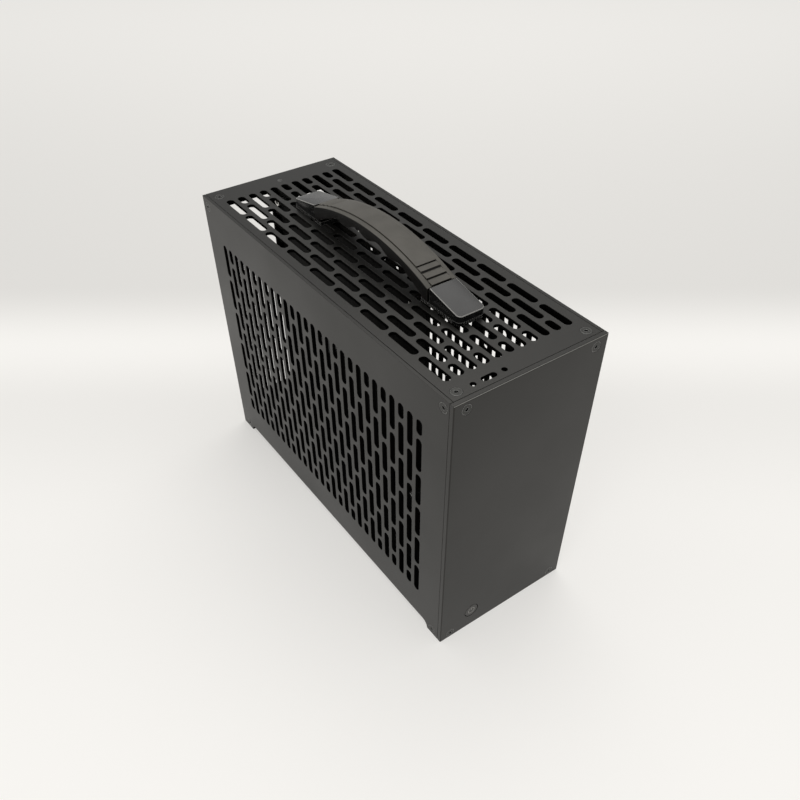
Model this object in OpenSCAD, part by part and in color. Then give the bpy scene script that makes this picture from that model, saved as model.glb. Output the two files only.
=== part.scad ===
/* [Case] */
// Width of the case across its front
case_w = 101; // [98:1:125]
// Depth of the case from front to back
case_d = 265; // [258:1:310]
// Height from the ground to the top panel's outer face
case_h = 194; // [192:1:225]
// Thickness of the front plate
front_t = 3; // [2.5:0.5:4]
// Thickness of the side, top, bottom and rear panels
panel_t = 2; // [1.8:0.1:2.4]
// Seam left between neighbouring panels
seam = 0.3; // [0.2:0.1:0.5]
// Width of the broken edge round the front plate
front_break = 0.5; // [0.2:0.1:0.8]

/* [Feet] */
// Length of each foot, counted from the case's front or back face
foot_len = 14; // [14:1:24]
// Height of the arch between the feet
foot_h = 5; // [3:0.5:5]
// Gap between the foot blocks and the ground
foot_lift = 0.6; // [0.4:0.1:1]

/* [Vent slots] */
// Width of a vent slot
slot_w = 5; // [3:0.5:6]
// Length of a long vent slot
slot_l = 23; // [15:1:30]
// Web left between neighbouring slots
slot_gap = 3; // [2:0.5:5]
// Least plain border at the top panel's front and back
top_border_y = 17; // [15:1:30]
// Least plain border at the top panel's sides
top_border_x = 8; // [8:1:20]
// Least plain border in front of and behind the side panels' slots
side_border_y = 20; // [18:1:40]
// Plain border above the side panels' slots
side_border_top = 26; // [20:1:50]
// Least plain border below the side panels' slots
side_border_low = 28; // [20:1:50]

/* [Panel screws] */
// Diameter of the panel screws
screw_d = 3; // [2.5:0.5:3]
// Diameter of a countersunk screw head
head_d = 6.2; // [5.5:0.1:6.4]
// Length of a panel screw, head included
screw_len = 6; // [5:0.5:6]
// Distance of the top and front screws from the case's sides
screw_in = 8; // [8:0.5:10]
// Distance of the top screws from the front and back faces
top_screw_in = 8.5; // [8.5:0.5:9.5]
// Distance of the upper front and rear screws below the top
screw_down = 5.3; // [5:0.1:6]
// Height of the lowest row of screws above the ground
screw_up = 3.9; // [3.8:0.1:4.2]
// Distance of the side panels' upper front screw from the front face
side_screw_front = 7.8; // [7.8:0.1:8.2]
// Distance of the side panels' upper rear screw from the back face
side_screw_rear = 5.7; // [5.6:0.1:6.5]
// Distance of the side panels' foot screws from the front and back faces
side_screw_foot = 9.3; // [9.2:0.1:9.6]

/* [Corner blocks] */
// Width of an upper corner block
block_w = 10; // [9:0.5:12]
// Depth of an upper corner block
block_d = 12; // [11:0.5:14]
// Height of an upper corner block
block_h = 8; // [7.5:0.5:9]
// Width of a foot block
foot_block_w = 13; // [13:0.5:15]

/* [Board tray] */
// Board-side face of the tray, measured from the case's centre plane
tray_x = 2.2; // [0:0.1:4]
// Thickness of the folded inner sheets
sheet_t = 1.5; // [1.2:0.1:2]
// Outer radius of the folds
fold_r = 2.5; // [2.2:0.1:4]
// Distance of the tray's front edge from the case's back face
tray_len = 174; // [172:1:190]
// Height of the standoffs
standoff_h = 6.5; // [5:0.5:8]
// Width of the standoffs across their flats
standoff_af = 5; // [5:0.5:6]
// Mini-ITX hole spacing along the depth
board_dy = 154.94; // [154.94:0.01:154.94]
// Mini-ITX hole spacing along the height
board_dz = 157.48; // [157.48:0.01:157.48]
// Part of the spare height inside the case that lies above the upper board holes
board_lift = 0.385; // [0.34:0.005:0.44]
// Distance of the rear board holes from the rear panel's inner face
board_back = 11.4; // [11:0.1:13]

/* [Rear openings] */
// Width of the board's connector opening
io_w = 44.45; // [44.45:0.01:44.45]
// Height of the board's connector opening
io_h = 158.75; // [158.75:0.01:158.75]
// Top of the connector opening above the upper board holes
io_above = 1.4; // [1:0.1:1.8]
// Width of the graphics card opening
card_w = 31.5; // [28:0.5:33]
// Height of the graphics card opening
card_h = 111; // [100:1:112]
// Top of the graphics card opening below the case's top
card_down = 13; // [13:0.5:16]
// Near edge of the graphics card opening from the case's centre plane
card_x = 12; // [11:0.5:13]

/* [USB opening] */
// Length of the connector slot in the top panel
usb_l = 9.4; // [8:0.1:11]
// Width of the connector slot in the top panel
usb_w = 3.7; // [3:0.1:4.5]
// Distance between the connector's two screw holes
usb_pitch = 19.6; // [16:0.1:22]
// Diameter of the connector's screw holes
usb_hole_d = 3.3; // [2.5:0.1:3.5]
// Distance of the connector slot from the case's left side
usb_side = 27.8; // [27:0.1:32]
// Distance of the connector slot from the front face
usb_in = 8.3; // [7:0.1:9]

/* [Power button] */
// Diameter of the button's hole in the front plate
button_hole_d = 10.6; // [8:0.1:11]
// Ring gap round the button
button_gap = 0.35; // [0.2:0.05:0.6]
// Distance of the button from the case's left side
button_side = 24.3; // [22.5:0.1:30]
// Height of the button above the ground
button_z = 14.9; // [14.9:0.1:25]
// Travel of the button
button_travel = 0.8; // [0.4:0.1:0.9]

/* [Handle] */
// Width of the handle's strap
strap_w = 20; // [16:0.5:24]
// Half length of the strap's arch
strap_half = 57.5; // [56:0.5:57.5]
// Top of the arch above the top panel
strap_rise = 20.6; // [18:0.1:26]
// Height of the arch's ends above the top panel
strap_end_h = 10.5; // [10:0.1:12]
// Mean thickness of the strap at the finger grips
grip_t = 6.1; // [5:0.1:8]
// Depth of the finger grips each side of the mean
grip_wave = 1.35; // [0:0.05:1.8]
// Length of one finger grip
grip_pitch = 22; // [20:0.5:22]
// Width of the strap's raised middle panel
pad_w = 13.5; // [10:0.5:14.5]
// Height of the raised middle panel
pad_h = 0.6; // [0.4:0.1:1]
// Length of one of the steps at the strap's ends
step_l = 4.75; // [4:0.25:5]
// Lift of the strap in its end caps
strap_lift = 1.3; // [0.5:0.1:1.4]
// Distance between the handle's two screws
handle_pitch = 130; // [129:1:131]
// Width of the end caps
cap_w = 18; // [17:0.5:20]
// Outer end of the end caps, measured from the middle of the handle
cap_end = 83.5; // [82:0.5:88]
// Height of the end caps at their inner edge
cap_h_in = 10.5; // [10:0.1:12]
// Height of the end caps at their outer edge
cap_h_out = 5.5; // [5:0.1:8]
// Wall of the end caps
cap_t = 1.5; // [1:0.1:1.8]
// Thickness of the end caps' base plates
base_t = 2; // [1.5:0.1:2.5]
// Width of one rib round the base plates' rims
rib_w = 0.7; // [0.5:0.1:0.9]

/* [Hidden] */
$fn = 48;

// Small overlap that keeps a cut from ending on a face
eps = 0.02;
// Running clearance between a screw and its thread or hole
screw_clear = 0.1;
// Clearance between a panel's hole and the screw in it
hole_clear = 0.2;
// Depth of a head below the face it is sunk in
head_sink = 0.05;
head_h = (head_d - screw_d) / 2;
hex_af = 2;

half_w = case_w / 2;
half_d = case_d / 2;
front_in = front_t - half_d;
rear_in = half_d - panel_t;
side_in = half_w - panel_t;
usb_x = half_w - usb_side;
button_x = half_w - button_side;
top_in = case_h - panel_t;
seam_front = front_in + seam;
seam_side = side_in - seam;

// The bottom panel lies just above the arch of the side panels
floor_low = foot_h + 0.5;
floor_top = floor_low + panel_t;

row_pitch = slot_l + slot_gap;
col_pitch = slot_w + slot_gap;
short_l = (slot_l - slot_gap) / 2;

tray_low = floor_top;
tray_top = top_in - 2.5;
tray_far = tray_x + sheet_t;
tray_front = half_d - tray_len;
floor_border = 30;
floor_flange_w = 14;
rear_flange_w = 9;
board_y_rear = rear_in - board_back;
board_y_front = board_y_rear - board_dy;
board_z_top = top_in - board_lift * (top_in - floor_top - board_dz);
board_z_low = board_z_top - board_dz;
board_t = 1.6;
// The connector opening starts this far behind the board's component side
io_offset = 3.8;
io_x_far = tray_x - standoff_h - board_t + io_offset;
io_z = board_z_top + io_above - io_h;
card_z = case_h - card_down - card_h;

lip_l = 12;
lip_x = 1.5;
lip_w = 13;
lip_screw_in = 9.9;
small_screw_d = 2;
small_head_d = 3.4;
small_hex_af = 1.3;

riser_z = card_z - 12;
riser_back = 30.5;
riser_len = 90;
riser_y = [rear_in - riser_back - riser_len, rear_in - riser_back];
riser_reach = 36;
riser_drop = 18;
riser_hole_end = 8;
riser_hole_in = 6;
riser_hole_pitch = 18;
riser_screw_end = 15;
riser_head_d = 5.5;
riser_head_h = 1.8;

// The power supply's bracket ends in front of the board's standoffs
psu_front = 4.5;
psu_board_gap = 12.16;
psu_plate_z = floor_top + 30.5;
psu_far = 0.5;
psu_w = 43;
psu_y = [front_in + psu_front, board_y_front - psu_board_gap];
psu_foot_w = 15;
psu_hole_x = 4.5;
psu_hole_y = 5;
psu_window_x = 7.5;
psu_window_y = 15;

ledge_x = [9, 38];
ledge_z = case_h - card_down + 0.2;
ledge_flange_x = [10, 35];
ledge_flange_top = top_in - 2;
ledge_hole_x = 14.5;
slot_pitch = 20.32;

tray_foot_y = [board_y_front + 5.84, rear_in - 20.5];
tray_back_z = [floor_top + 17.5, ledge_z - 6.2];
// Window behind the cooler, slot for the riser's ribbon and notch beside the handle's nut
window_l = 90;
window_h = 80;
window_shift = 10;
window_drop = 5;
ribbon_l = 90;
ribbon_w = 8;
ribbon_shift = 20;
nut_notch_l = 18;
nut_notch_h = 5;

inlet_x = card_x + card_w / 2;
inlet_z = floor_top + 34.5;
inlet_w = 19.6;
inlet_h = 27;
inlet_flange_w = 22.5;
inlet_flange_h = 50;
inlet_flange_t = 3;
inlet_depth = 22;
inlet_pitch = 40;
inlet_pin_in = 3;
inlet_cut = 4.5;

button_r = button_hole_d / 2 - button_gap;
button_flange_r = button_r + 0.8;
button_flange_t = 1.2;
button_back = front_t + 0.2;
button_break = 0.3;
housing_in_r = button_flange_r + 0.2;
housing_out_r = housing_in_r + 1;
housing_ear = housing_out_r + 2.5;
housing_ear_r = 2.4;
switch_face = button_back + button_flange_t + 3;
switch_h = 3.5;
switch_side = 6;
plunger_r = 1.7;
plunger_top = switch_face - 1.2;
board_face = switch_face + switch_h;
switch_board_t = 1.5;
switch_board_h = 11.6;
switch_board_margin = 2.5;
switch_head_d = 3.8;
switch_head_h = 1.4;
// The switch's screws reach this far into the front plate
switch_bite = 1.6;
switch_screw_len = board_face + switch_board_t - front_t + switch_bite;

arch_drop = strap_rise - strap_end_h;
arch_r = (strap_half * strap_half + arch_drop * arch_drop) / (2 * arch_drop);
shoulder_drop = 1.1;
grip_half = grip_pitch * 1.75;
step_count = 3;
step_start = strap_half - step_count * step_l;
step_h = 0.8;
pad_ledge = 0.15;
running = 0.3;
tongue_low = base_t + running;
tongue_t = 2;
tongue_half_w = 6.5;
post_r = 3.4;
post_top = base_t + 2.8;
post_y = handle_pitch / 2;
tongue_slot_r = post_r + running;
tongue_end = post_y + tongue_slot_r + 3.2;
cap_start = strap_half + 1;
base_start = strap_half - 6;
base_margin = 0.2;
cap_corner = 2.8;
washer_t = 0.8;
washer_d = 9;
nut_h = 2.4;
nut_af = 5.5;
handle_screw_len = post_top + panel_t + washer_t + nut_h + 0.8;

panel_color = [0.31, 0.31, 0.29];
plate_color = [0.27, 0.27, 0.25];
inner_color = [0.14, 0.14, 0.14];
screw_color = [0.2, 0.2, 0.2];
strap_color = [0.16, 0.155, 0.15];
cap_color = [0.08, 0.08, 0.08];
steel_color = [0.62, 0.62, 0.6];
board_color = [0.07, 0.2, 0.12];

// Sheet and slot outlines

module slot(w, l) {
  square([w, l - w], center = true);
  for (s = [-1, 1]) translate([0, s * (l - w) / 2]) circle(d = w);
}

// One column of slots upwards from 0, in steps of half a row
module vent_column(half_rows, short_first) {
  used = half_rows - (short_first ? 1 : 0);
  first = short_first ? row_pitch / 2 : 0;
  long_rows = floor(used / 2);
  if (short_first) translate([0, short_l / 2]) slot(slot_w, short_l);
  for (i = [0:1:long_rows - 1]) translate([0, first + i * row_pitch + slot_l / 2]) slot(slot_w, slot_l);
  if (used % 2 == 1) translate([0, first + long_rows * row_pitch + short_l / 2]) slot(slot_w, short_l);
}

function fit_count(room, pitch) = floor((room + slot_gap) / pitch + 0.001);
function field_size(count, pitch) = count * pitch - slot_gap;

// Staggered slots that fill a room of w by h, centred in it, from the middle of its lower edge
module vent_field(w, h) {
  cols = fit_count(w, col_pitch);
  half_rows = fit_count(h, row_pitch / 2);
  x0 = -field_size(cols, col_pitch) / 2 + slot_w / 2;
  y0 = (h - field_size(half_rows, row_pitch / 2)) / 2;
  for (c = [0:1:cols - 1]) translate([x0 + c * col_pitch, y0]) vent_column(half_rows, c % 2 == 1);
}

// An L section with its outer corner rounded, legs a along X and b along Y
module fold(a, b) {
  translate([fold_r, 0]) square([a - fold_r, sheet_t]);
  translate([0, fold_r]) square([sheet_t, b - fold_r]);
  intersection() {
    square([fold_r, fold_r]);
    translate([fold_r, fold_r]) difference() {
      circle(r = fold_r);
      circle(r = fold_r - sheet_t);
    }
  }
}

module rounded(w, h, r) {
  square([w - 2 * r, h], center = true);
  square([w, h - 2 * r], center = true);
  for (sx = [-1, 1], sy = [-1, 1]) translate([sx * (w / 2 - r), sy * (h / 2 - r)]) circle(r = r);
}

// Faces of the case, each with its outward direction along local Z

module on_front(x, z) translate([x, -half_d, z]) rotate([90, 0, 0]) children();
module on_rear(x, z) translate([x, half_d, z]) rotate([90, 0, 180]) children();
module on_side(side, y, z) translate([side * half_w, y, z]) rotate([90, 0, side * 90]) children();
module on_top(x, y) translate([x, y, case_h]) children();
module on_floor(x, y) translate([x, y, floor_top]) children();
module under_floor(x, y) translate([x, y, floor_low]) rotate([180, 0, 0]) children();

// Places of the screws, shared by the screws, their holes and their threads

module front_places() {
  for (s = [-1, 1], z = [screw_up, case_h - screw_down]) on_front(s * (half_w - screw_in), z) children();
}

module rear_places() {
  for (s = [-1, 1], z = [screw_up, case_h - screw_down]) on_rear(s * (half_w - screw_in), z) children();
}

module top_places() {
  for (s = [-1, 1], e = [-1, 1]) on_top(s * (half_w - screw_in), e * (half_d - top_screw_in)) children();
}

module side_places(side) {
  on_side(side, side_screw_front - half_d, case_h - screw_down - 0.3) children();
  on_side(side, half_d - side_screw_rear, case_h - screw_down - 0.5) children();
  for (e = [-1, 1]) on_side(side, e * (half_d - side_screw_foot), screw_up) children();
}

module floor_places() {
  for (s = [-1, 1], e = [-1, 1]) on_floor(s * (half_w - 11.6), e * (half_d - 10.8)) children();
}

module lip_place() on_top(lip_x, half_d - lip_screw_in) children();

module tray_floor_places() {
  for (y = [tray_foot_y[0] + 12, tray_foot_y[1] - 12])
    under_floor(tray_x + floor_flange_w - 5, y) children();
}

module tray_rear_places() {
  for (z = [tray_back_z[0] + 20, tray_back_z[1] - 20]) on_rear(tray_x + rear_flange_w - 3.5, z) children();
}

module psu_places() {
  for (e = [0.2, 0.8])
    under_floor(psu_far - psu_foot_w / 2 - 1, psu_y[0] + e * (psu_y[1] - psu_y[0])) children();
}

module ledge_places() {
  for (x = [16, 29]) on_rear(x, (ledge_z + sheet_t + ledge_flange_top) / 2) children();
}

module inlet_places() {
  for (s = [-1, 1]) on_rear(inlet_x, inlet_z + s * inlet_pitch / 2) children();
}

module riser_places() {
  for (y = [riser_y[0] + riser_screw_end, riser_y[1] - riser_screw_end])
    translate([tray_far + sheet_t, y, riser_z - riser_drop / 2]) rotate([0, 90, 0]) children();
}

// Countersunk socket screw, its head's face at z = 0 and its shank downwards
module sunk_screw(len, d = screw_d, head = head_d, hex = hex_af) {
  cone = (head - d) / 2;
  translate([0, 0, -head_sink]) difference() {
    union() {
      translate([0, 0, -cone]) cylinder(h = cone, r1 = d / 2, r2 = head / 2);
      translate([0, 0, head_sink - len]) cylinder(h = len - head_sink - cone + eps, r = d / 2);
    }
    translate([0, 0, -cone * 0.75]) cylinder(h = cone, d = hex / cos(30), $fn = 6);
  }
}

// Hole for a countersunk screw through a sheet of thickness t, open at z = 0
module sunk_hole(t, d = screw_d, head = head_d) {
  r = d / 2 + hole_clear;
  top = head / 2 + hole_clear;
  translate([0, 0, -t - eps]) cylinder(h = t + 2 * eps, r = r);
  translate([0, 0, r - top]) cylinder(h = top - r + eps, r1 = r, r2 = top + eps);
}

// Threaded hole for a screw of the given length that starts at z = 0
module thread_hole(len, d = screw_d) {
  translate([0, 0, -len - hole_clear]) cylinder(h = len + hole_clear + eps, r = d / 2 + screw_clear);
}

// Pan-head screw, its head's seat at z = 0 and its shank downwards
module pan_screw(len, d, head, h) {
  difference() {
    union() {
      cylinder(h = h, r = head / 2);
      translate([0, 0, -len]) cylinder(h = len + eps, r = d / 2);
    }
    translate([0, 0, h / 2]) cylinder(h = h, d = head / 2.4 / cos(30), $fn = 6);
  }
}

// Outer panels

// Prism that breaks one long edge at the local X axis
module edge_cut(len) {
  rotate([45, 0, 0]) cube([len, front_break * sqrt(2), front_break * sqrt(2)], center = true);
}

module front_panel() color(plate_color) difference() {
  translate([-half_w, -half_d, 0]) cube([case_w, front_t, case_h]);
  front_places() sunk_hole(front_t);
  on_front(-button_x, button_z) {
    translate([0, 0, -front_t - eps]) cylinder(h = front_t + 2 * eps, d = button_hole_d);
    for (s = [-1, 1]) translate([s * housing_ear, 0, -front_t - eps])
      cylinder(h = front_t * 0.6, r = small_screw_d / 2 + screw_clear);
  }
  for (z = [0, case_h]) translate([0, -half_d, z]) edge_cut(case_w + 2);
  for (s = [-1, 1]) translate([s * half_w, -half_d, case_h / 2]) rotate([0, 90, 0]) edge_cut(case_h + 2);
}

module top_panel() color(panel_color) difference() {
  translate([0, 0, top_in]) linear_extrude(panel_t) difference() {
    translate([-seam_side, seam_front]) square([2 * seam_side, half_d - seam_front]);
    translate([0, top_border_y - half_d]) vent_field(case_w - 2 * top_border_x, case_d - 2 * top_border_y);
    translate([-usb_x, usb_in - half_d]) {
      rotate(90) slot(usb_w, usb_l);
      for (s = [-1, 1]) translate([s * usb_pitch / 2, 0]) circle(d = usb_hole_d);
    }
    for (e = [-1, 1]) translate([0, e * post_y]) circle(r = screw_d / 2 + hole_clear);
  }
  top_places() sunk_hole(panel_t);
  lip_place() sunk_hole(panel_t, small_screw_d, small_head_d);
}

// Arch between the feet, across a room from a to b
module foot_arch(a, b) {
  translate([a + foot_h, -1]) square([b - a - 2 * foot_h, foot_h + 1]);
  for (x = [a + foot_h, b - foot_h]) translate([x, 0]) circle(r = foot_h);
}

module side_panel(side) color(panel_color) difference() {
  translate([side > 0 ? side_in : -half_w, 0, 0]) rotate([90, 0, 90]) linear_extrude(panel_t) difference() {
    translate([seam_front, 0]) square([half_d - seam_front, case_h]);
    translate([(seam_front + half_d) / 2, side_border_low])
      vent_field(half_d - seam_front - 2 * side_border_y, case_h - side_border_top - side_border_low);
    foot_arch(foot_len - half_d, half_d - foot_len);
  }
  side_places(side) sunk_hole(panel_t);
}

module rear_panel() color(panel_color) difference() {
  union() {
    translate([0, half_d, 0]) rotate([90, 0, 0]) linear_extrude(panel_t) difference() {
      translate([-seam_side, 0]) square([2 * seam_side, top_in]);
      foot_arch(foot_len - half_w, half_w - foot_len);
      translate([io_x_far - io_w, io_z]) square([io_w, io_h]);
      translate([card_x, card_z]) square([card_w, card_h]);
      translate([inlet_x, inlet_z]) rounded(inlet_w + 2 * running, inlet_h + 2 * running, 1.5);
    }
    translate([lip_x - lip_w / 2, rear_in - lip_l, top_in - panel_t]) cube([lip_w, lip_l + eps, panel_t]);
  }
  rear_places() sunk_hole(panel_t);
  tray_rear_places() sunk_hole(panel_t);
  ledge_places() sunk_hole(panel_t);
  inlet_places() sunk_hole(panel_t);
  lip_place() thread_hole(4.5, small_screw_d);
}

module bottom_panel() color(inner_color) difference() {
  translate([0, 0, floor_low]) linear_extrude(panel_t) difference() {
    translate([-seam_side, seam_front]) square([2 * seam_side, rear_in - seam - seam_front]);
    translate([(tray_x + floor_flange_w + seam_side) / 2, floor_border - half_d])
      vent_field(seam_side - tray_x - floor_flange_w - 4, case_d - 2 * floor_border);
  }
  floor_places() sunk_hole(panel_t);
  tray_floor_places() sunk_hole(panel_t);
  psu_places() sunk_hole(panel_t);
}

// Corner blocks, each with threads towards the panels it joins

module top_block(side, end) color(inner_color) difference() {
  x = side > 0 ? side_in - block_w : -side_in;
  y = end > 0 ? rear_in - block_d : front_in;
  translate([x, y, top_in - block_h]) cube([block_w, block_d, block_h]);
  if (end < 0) front_places() thread_hole(screw_len);
  if (end > 0) rear_places() thread_hole(screw_len);
  top_places() thread_hole(screw_len);
  side_places(side) thread_hole(screw_len);
}

module foot_block(side, end) color(inner_color) difference() {
  len_y = end > 0 ? foot_len - panel_t : foot_len - front_t;
  x = side > 0 ? side_in - foot_block_w : -side_in;
  y = end > 0 ? rear_in - len_y : front_in;
  translate([x, y, foot_lift]) cube([foot_block_w, len_y, floor_low - foot_lift]);
  if (end < 0) front_places() thread_hole(screw_len);
  if (end > 0) rear_places() thread_hole(screw_len);
  floor_places() thread_hole(screw_len);
  side_places(side) thread_hole(screw_len);
}

// Board tray with its rear and bottom flanges

module tray_cuts() {
  window_y = (board_y_rear + board_y_front) / 2 + window_shift;
  window_z = (board_z_top + board_z_low) / 2 - window_drop;
  translate([window_y, window_z]) rounded(window_l, window_h, 6);
  translate([(tray_foot_y[0] + tray_foot_y[1]) / 2 + ribbon_shift, tray_low + ribbon_w])
    rounded(ribbon_l, ribbon_w, 2);
  translate([post_y, tray_top]) rounded(nut_notch_l, 2 * nut_notch_h, 2);
}

module motherboard_tray() color(inner_color) difference() {
  union() {
    translate([tray_x, tray_front, tray_low + fold_r])
      cube([sheet_t, tray_len - panel_t - fold_r, tray_top - tray_low - fold_r]);
    translate([tray_x, rear_in, tray_back_z[0]]) linear_extrude(tray_back_z[1] - tray_back_z[0])
      mirror([0, 1]) fold(rear_flange_w, fold_r + 1);
    translate([tray_x, tray_foot_y[1], tray_low]) rotate([90, 0, 0])
      linear_extrude(tray_foot_y[1] - tray_foot_y[0]) fold(floor_flange_w, fold_r + 1);
  }
  translate([tray_x - 1, 0, 0]) rotate([90, 0, 90]) linear_extrude(sheet_t + 2) tray_cuts();
  standoff_places() translate([0, 0, -sheet_t - 1]) cylinder(h = sheet_t + 2, r = screw_d / 2 + screw_clear);
  riser_places() thread_hole(3 * sheet_t);
  tray_floor_places() thread_hole(screw_len);
  tray_rear_places() thread_hole(screw_len);
}

// Places of the standoffs on the tray's board side, outward along local Z
module standoff_places() {
  for (y = [board_y_front, board_y_rear], z = [board_z_low, board_z_top])
    translate([tray_x, y, z]) rotate([0, -90, 0]) children();
}

module motherboard_standoffs() color(steel_color) standoff_places() difference() {
  union() {
    cylinder(h = standoff_h, d = standoff_af / cos(30), $fn = 6);
    translate([0, 0, -sheet_t]) cylinder(h = sheet_t + eps, r = screw_d / 2);
  }
  translate([0, 0, standoff_h - 5]) cylinder(h = 5 + eps, r = screw_d / 2);
}

module riser_bracket() color(inner_color) difference() {
  translate([tray_far, riser_y[1], riser_z]) rotate([90, 0, 0]) linear_extrude(riser_y[1] - riser_y[0])
    mirror([0, 1]) fold(riser_reach, riser_drop);
  riser_places() thread_hole(2 * sheet_t);
  for (y = [riser_y[0] + riser_hole_end, riser_y[1] - riser_hole_end], i = [0, 1])
    translate([tray_far + riser_reach - riser_hole_in - i * riser_hole_pitch, y, riser_z - sheet_t - 1])
      cylinder(h = sheet_t + 2, r = screw_d / 2 + screw_clear);
}

module psu_bracket() color(inner_color) {
  rise = psu_plate_z - floor_top;
  len_y = psu_y[1] - psu_y[0];
  mid = [psu_far - psu_w / 2, (psu_y[0] + psu_y[1]) / 2];
  difference() {
    translate([psu_far, psu_y[1], floor_top]) rotate([90, 0, 0]) linear_extrude(len_y) mirror([1, 0]) {
      fold(psu_foot_w, rise / 2);
      translate([0, rise]) mirror([0, 1]) fold(psu_w, rise / 2 + eps);
    }
    translate([mid[0], mid[1], psu_plate_z - sheet_t - 1]) linear_extrude(sheet_t + 2) {
      rounded(psu_w - 2 * psu_window_x, len_y - 2 * psu_window_y, 3);
      for (sx = [-1, 1], sy = [-1, 1])
        translate([sx * (psu_w / 2 - psu_hole_x), sy * (len_y / 2 - psu_hole_y)])
          circle(r = screw_d / 2 + hole_clear);
    }
    psu_places() thread_hole(screw_len);
  }
}

module slot_ledge() color(inner_color) difference() {
  translate([ledge_x[0], rear_in, ledge_z]) rotate([90, 0, 90]) linear_extrude(ledge_x[1] - ledge_x[0])
    mirror([1, 0]) fold(lip_l, ledge_flange_top - ledge_z);
  translate([ledge_flange_x[1], rear_in - fold_r, ledge_z + fold_r]) cube([ledge_x[1], 2 * fold_r, case_h]);
  ledge_places() thread_hole(screw_len);
  for (x = [ledge_hole_x, ledge_hole_x + slot_pitch])
    translate([x, rear_in - lip_l / 2, ledge_z - 1]) cylinder(h = sheet_t + 2, r = screw_d / 2);
}

// Outline of the inlet's plug recess, with two corners cut towards the earth pin
module inlet_recess() {
  w = inlet_w / 2 - 2;
  h = inlet_h / 2 - 2;
  polygon([
    [w, h], [inlet_cut - w, h], [-w, h - inlet_cut], [-w, inlet_cut - h], [inlet_cut - w, -h], [w, -h]
  ]);
}

// Inlet socket, its face outward along local Z from the rear face
module power_inlet() color(cap_color) on_rear(inlet_x, inlet_z) difference() {
  union() {
    translate([0, 0, -panel_t - inlet_flange_t]) linear_extrude(inlet_flange_t)
      rounded(inlet_flange_w, inlet_flange_h, 3);
    translate([0, 0, -panel_t - eps]) linear_extrude(panel_t - 0.2) rounded(inlet_w, inlet_h, 1.5);
    translate([0, 0, -panel_t - inlet_flange_t - inlet_depth]) linear_extrude(inlet_depth + eps)
      rounded(inlet_w, inlet_h, 1.5);
  }
  translate([0, 0, -inlet_depth + 4]) linear_extrude(inlet_depth) difference() {
    inlet_recess();
    for (p = [[-2, 0], [2, -7], [2, 7]]) translate(p) square([4, 2], center = true);
  }
  translate([0, 0, -inlet_pin_in]) linear_extrude(inlet_depth) inlet_recess();
  for (s = [-1, 1]) translate([0, s * inlet_pitch / 2, 0]) thread_hole(screw_len + 2);
}

// Screws

module front_screws() color(screw_color) front_places() sunk_screw(screw_len);
module rear_screws() color(screw_color) rear_places() sunk_screw(screw_len);
module top_screws() color(screw_color) top_places() sunk_screw(screw_len);
module left_side_screws() color(screw_color) side_places(-1) sunk_screw(screw_len);
module right_side_screws() color(screw_color) side_places(1) sunk_screw(screw_len);
module bottom_screws() color(screw_color) floor_places() sunk_screw(screw_len);
module rear_lip_screw() color(screw_color) lip_place()
  sunk_screw(2 * panel_t, small_screw_d, small_head_d, small_hex_af);
module psu_bracket_screws() color(screw_color) psu_places() sunk_screw(screw_len);
module slot_ledge_screws() color(screw_color) ledge_places() sunk_screw(screw_len);
module inlet_screws() color(screw_color) inlet_places() sunk_screw(screw_len);
module riser_bracket_screws() color(screw_color) riser_places()
  pan_screw(3 * sheet_t, screw_d, riser_head_d, riser_head_h);

module tray_screws() color(screw_color) {
  tray_floor_places() sunk_screw(screw_len);
  tray_rear_places() sunk_screw(screw_len);
}

// Power button, along local Z out of the front plate

module power_button() color(plate_color) on_front(-button_x, button_z) {
  translate([0, 0, -button_break]) cylinder(h = button_break, r1 = button_r, r2 = button_r - button_break);
  translate([0, 0, -button_back]) cylinder(h = button_back - button_break, r = button_r);
  translate([0, 0, -button_back - button_flange_t]) cylinder(h = button_flange_t, r = button_flange_r);
  translate([0, 0, -plunger_top]) cylinder(h = plunger_top - button_back - button_flange_t + eps, r = 2);
}

module switch_plunger() color(strap_color) on_front(-button_x, button_z)
  translate([0, 0, -plunger_top - 2]) cylinder(h = 2, r = plunger_r);

module button_housing() color(cap_color) on_front(-button_x, button_z)
  translate([0, 0, -board_face]) linear_extrude(board_face - front_t) difference() {
    union() {
      circle(r = housing_out_r);
      square([2 * housing_ear, 2 * housing_ear_r], center = true);
      for (s = [-1, 1]) translate([s * housing_ear, 0]) circle(r = housing_ear_r);
    }
    circle(r = housing_in_r);
    for (s = [-1, 1]) translate([s * housing_ear, 0]) circle(r = small_screw_d / 2 + screw_clear);
  }

module tact_switch() color(cap_color) on_front(-button_x, button_z) difference() {
  translate([-switch_side / 2, -switch_side / 2, -board_face]) cube([switch_side, switch_side, switch_h]);
  translate([0, 0, -plunger_top - 2 - button_travel - 0.2])
    cylinder(h = 10, r = plunger_r + screw_clear);
}

module switch_board() color(board_color) on_front(-button_x, button_z)
  translate([0, 0, -board_face - switch_board_t]) linear_extrude(switch_board_t) difference() {
    rounded(2 * (housing_ear + switch_board_margin), switch_board_h, 1.5);
    for (s = [-1, 1]) translate([s * housing_ear, 0]) circle(r = small_screw_d / 2 + screw_clear);
  }

module switch_screws() color(screw_color) on_front(-button_x, button_z) for (s = [-1, 1])
  translate([s * housing_ear, 0, -board_face - switch_board_t]) rotate([180, 0, 0])
    pan_screw(switch_screw_len, small_screw_d, switch_head_d, switch_head_h);

// Handle, with the top panel's face at local z = 0 and each end along local Y

module on_lid() translate([0, 0, case_h]) children();
module at_end(end) on_lid() rotate([0, 0, end < 0 ? 180 : 0]) children();

function arch_z(u) = strap_rise - arch_r + sqrt(arch_r * arch_r - u * u);
function grip_z(u) = arch_z(u) - grip_t - grip_wave * cos(360 * u / grip_pitch);

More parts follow.
